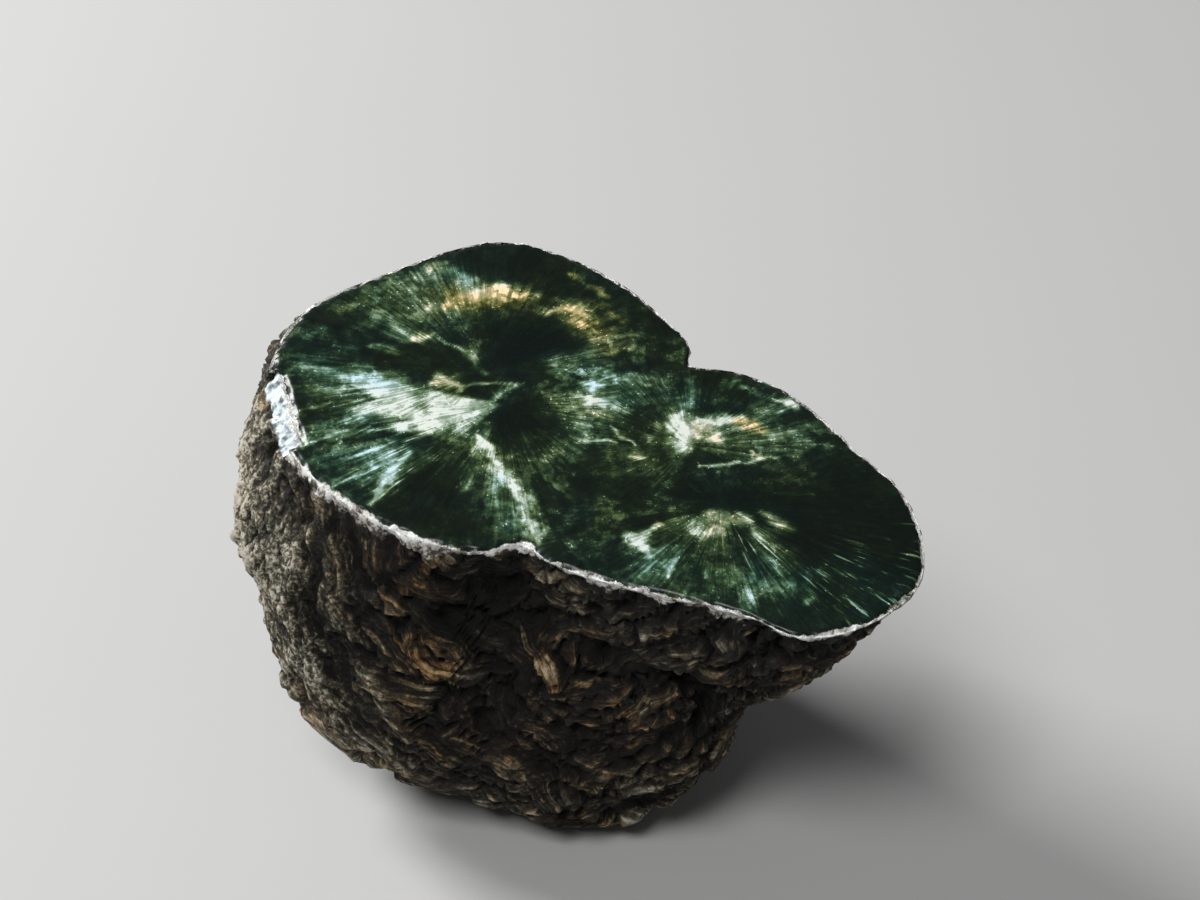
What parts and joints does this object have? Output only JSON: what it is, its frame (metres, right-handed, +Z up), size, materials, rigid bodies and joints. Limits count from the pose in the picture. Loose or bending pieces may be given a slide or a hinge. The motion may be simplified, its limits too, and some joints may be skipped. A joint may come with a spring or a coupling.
{
  "type": "seraphinite nodule",
  "caption": "Rounded lump of dark green seraphinite with rough brown skin, cut across and smoothed to show silvery radiating fans.",
  "frame": {"origin": "middle of the small flat spot on the underside that the stone rests on", "axes": "+X to the right along the stone's longest way, +Y to the back, +Z up; the cut face looks up and leans a little towards -Y"},
  "size_m": [0.0346, 0.0281, 0.0231],
  "materials": {
    "seraphinite": "dark green with silvery fans and a satin polish on the cut, dull brown and flaky on the skin"
  },
  "bodies": {
    "root": {"seraphinite_nodule": "seraphinite"}
  },
  "joints": []
}
